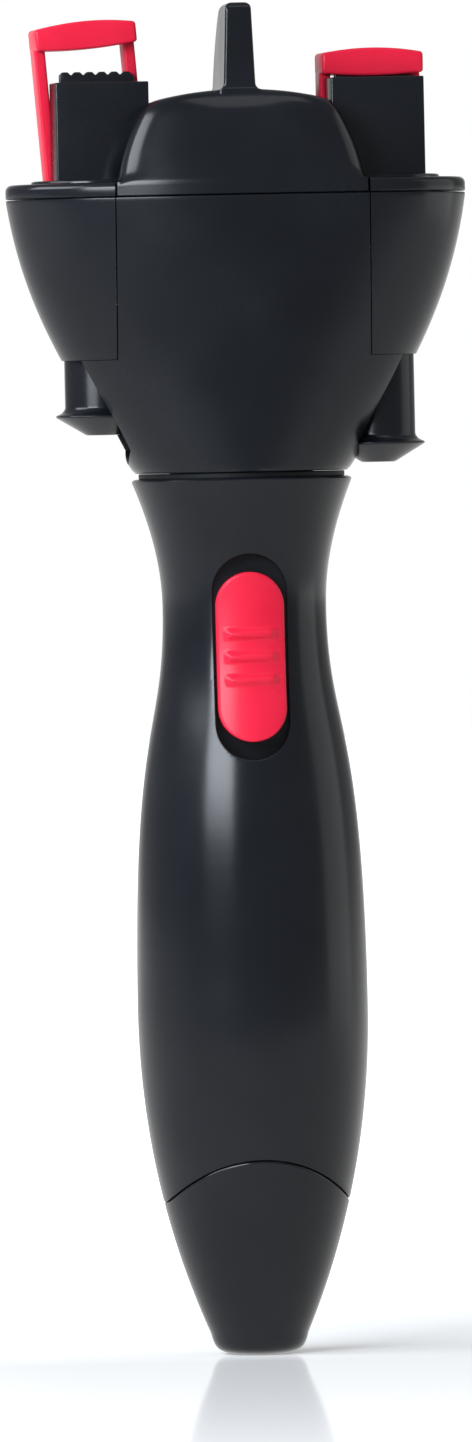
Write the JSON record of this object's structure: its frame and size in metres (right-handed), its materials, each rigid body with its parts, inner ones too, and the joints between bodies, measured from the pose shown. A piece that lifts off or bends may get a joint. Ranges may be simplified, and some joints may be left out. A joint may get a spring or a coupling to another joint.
{
  "type": "automatic hair braider",
  "caption": "Battery hair braider in glossy black plastic with red clips and thumb slider: tapered handle, turning funnel head, and two spring clips opened by push buttons.",
  "frame": {"origin": "middle of the flat foot at the handle's end, on the axis that the head turns about", "axes": "+Z from the handle to the head along that axis, +X to the side of the right clip, -Y to the side of the thumb slider"},
  "size_m": [0.0836, 0.046, 0.245],
  "materials": {
    "black_gloss_abs": "polished",
    "red_gloss_abs": "polished",
    "dark_abs": "satin",
    "natural_acetal": "satin",
    "bright_steel": "satin",
    "pinion_brass": "satin",
    "cell_wrap": "gloss",
    "board_green": "satin",
    "clutch_felt": "matte"
  },
  "bodies": {
    "handle": {"front_handle_shell": "black_gloss_abs", "rear_handle_shell": "black_gloss_abs", "handle_screws": "bright_steel", "battery_cradle": "dark_abs", "cell_left": "cell_wrap", "cell_right": "cell_wrap", "cradle_contacts": "bright_steel", "cradle_spring": "bright_steel", "switch_body": "bright_steel", "circuit_board": "board_green", "small_screws": "bright_steel", "motor_can": "bright_steel", "motor_end_bell": "natural_acetal", "motor_plate": "natural_acetal", "middle_plate": "natural_acetal", "top_plate": "natural_acetal", "idler_axle": "bright_steel", "neck_bush": "dark_abs"},
    "battery_cap": {"battery_cap": "black_gloss_abs", "cap_contact": "bright_steel", "cap_spring": "bright_steel"},
    "thumb_slider": {"slider_button": "red_gloss_abs", "switch_lever": "natural_acetal"},
    "motor_rotor": {"motor_shaft": "bright_steel", "motor_pinion": "pinion_brass"},
    "first_idler": {"first_idler": "natural_acetal"},
    "second_idler": {"second_idler": "natural_acetal"},
    "third_idler": {"third_idler": "natural_acetal"},
    "output": {"output_gear": "natural_acetal", "output_shaft": "bright_steel", "lower_clutch_plate": "natural_acetal", "friction_ring": "clutch_felt"},
    "head": {"funnel_front": "black_gloss_abs", "funnel_rear": "black_gloss_abs", "ear_left": "black_gloss_abs", "ear_right": "black_gloss_abs", "head_screws": "bright_steel", "gear_deck": "natural_acetal", "dome_cover": "black_gloss_abs", "wing_cover_left": "black_gloss_abs", "wing_cover_right": "black_gloss_abs", "neck_sleeve": "dark_abs", "retaining_ring": "bright_steel"},
    "drive": {"drive_shaft": "bright_steel", "upper_clutch_plate": "natural_acetal", "clutch_spring": "bright_steel", "sun_gear": "natural_acetal"},
    "clip_left": {"turntable_left": "black_gloss_abs", "clip_block_left": "black_gloss_abs", "clip_barrel_left": "dark_abs", "clip_gear_left": "natural_acetal"},
    "clip_right": {"turntable_right": "black_gloss_abs", "clip_block_right": "black_gloss_abs", "clip_barrel_right": "dark_abs", "clip_gear_right": "natural_acetal"},
    "frame_left": {"clip_frame_left": "red_gloss_abs", "push_button_left": "black_gloss_abs"},
    "frame_right": {"clip_frame_right": "red_gloss_abs", "push_button_right": "black_gloss_abs"}
  },
  "joints": [
    {"name": "cap_slide", "type": "slide", "parent": "handle", "child": "battery_cap", "axis": [0, 0, 1], "range_m": [-0.025, 0]},
    {"name": "slider_slide", "type": "slide", "parent": "handle", "child": "thumb_slider", "axis": [0, 0, 1], "range_m": [-0.0031, 0.0031]},
    {"name": "motor_spin", "type": "hinge", "parent": "handle", "child": "motor_rotor", "pos_m": [0, 0.002, 0.126], "axis": [0, 0, 1], "continuous": true},
    {"name": "first_idler_spin", "type": "hinge", "parent": "handle", "child": "first_idler", "pos_m": [0.00671, 0.00313, 0.145], "axis": [0, 0, 1], "continuous": true},
    {"name": "second_idler_spin", "type": "hinge", "parent": "handle", "child": "second_idler", "pos_m": [0, 0, 0.145], "axis": [0, 0, 1], "continuous": true},
    {"name": "third_idler_spin", "type": "hinge", "parent": "handle", "child": "third_idler", "pos_m": [0.00671, 0.00313, 0.145], "axis": [0, 0, 1], "continuous": true},
    {"name": "output_spin", "type": "hinge", "parent": "handle", "child": "output", "pos_m": [0, 0, 0.15], "axis": [0, 0, 1], "continuous": true},
    {"name": "head_spin", "type": "hinge", "parent": "handle", "child": "head", "pos_m": [0, 0, 0.16], "axis": [0, 0, 1], "continuous": true},
    {"name": "drive_spin", "type": "hinge", "parent": "head", "child": "drive", "pos_m": [0, 0, 0.18], "axis": [0, 0, 1], "continuous": true},
    {"name": "clip_left_spin", "type": "hinge", "parent": "head", "child": "clip_left", "pos_m": [-0.025, 0, 0.2], "axis": [0, 0, 1], "continuous": true},
    {"name": "clip_right_spin", "type": "hinge", "parent": "head", "child": "clip_right", "pos_m": [0.025, 0, 0.2], "axis": [0, 0, 1], "continuous": true},
    {"name": "frame_left_slide", "type": "slide", "parent": "clip_left", "child": "frame_left", "axis": [0, 0, 1], "range_m": [-0.0055, 0]},
    {"name": "frame_right_slide", "type": "slide", "parent": "clip_right", "child": "frame_right", "axis": [0, 0, 1], "range_m": [0, 0.0059]}
  ],
  "couplings": [
    {"joint": "first_idler_spin", "follows": "motor_spin", "ratio": -0.41667},
    {"joint": "second_idler_spin", "follows": "motor_spin", "ratio": 0.15432},
    {"joint": "third_idler_spin", "follows": "motor_spin", "ratio": -0.057156},
    {"joint": "output_spin", "follows": "motor_spin", "ratio": 0.021169},
    {"joint": "clip_left_spin", "follows": "drive_spin", "ratio": -1.2727},
    {"joint": "clip_right_spin", "follows": "drive_spin", "ratio": -1.2727}
  ]
}
